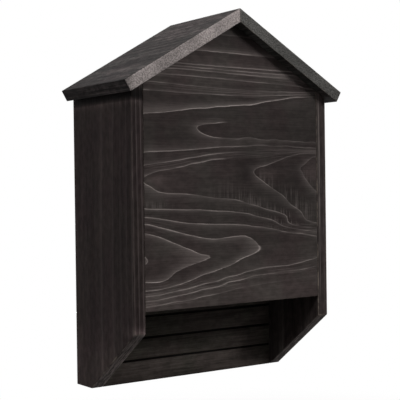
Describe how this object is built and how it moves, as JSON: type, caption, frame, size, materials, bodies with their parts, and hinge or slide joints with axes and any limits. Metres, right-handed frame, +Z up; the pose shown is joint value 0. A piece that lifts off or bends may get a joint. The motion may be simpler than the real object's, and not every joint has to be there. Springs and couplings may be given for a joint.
{
  "type": "bat box",
  "caption": "Wall-hung bat box of dark stained boards with a mitred gable roof, slant-cut side panels, a gabled front, a grooved landing board and narrow roosting gaps inside.",
  "frame": {"origin": "middle of the hanging cleat's rear face, where the box meets the wall", "axes": "+Z up, +Y into the wall, the front of the box faces -Y, +X to the right of someone facing the front"},
  "size_m": [0.338, 0.156, 0.474],
  "materials": {
    "side_wood": "dark charcoal stain on planed softwood, vertical grain",
    "front_wood": "dark charcoal stain on planed softwood, bold horizontal grain that shows paler",
    "back_wood": "dark charcoal stain on rough softwood with saw kerfs",
    "roof_wood": "dark charcoal stain on planed softwood, weathered paler on top and on the sawn edges",
    "inner_wood": "dark stain on rough softwood",
    "rail_wood": "dark stain on planed softwood",
    "screw_steel": "bright zinc plating"
  },
  "bodies": {
    "root": {"left_side_panel": "side_wood", "right_side_panel": "side_wood", "front_panel": "front_wood", "back_panel": "back_wood", "left_roof_board": "roof_wood", "right_roof_board": "roof_wood", "front_partition": "inner_wood", "rear_partition": "inner_wood", "left_front_spacer": "inner_wood", "left_middle_spacer": "inner_wood", "left_rear_spacer": "inner_wood", "right_front_spacer": "inner_wood", "right_middle_spacer": "inner_wood", "right_rear_spacer": "inner_wood", "hanging_cleat": "rail_wood", "lower_batten": "rail_wood", "cleat_screw_1": "screw_steel", "cleat_screw_2": "screw_steel", "cleat_screw_3": "screw_steel", "cleat_screw_4": "screw_steel", "batten_screw_left": "screw_steel", "batten_screw_right": "screw_steel"}
  },
  "joints": []
}
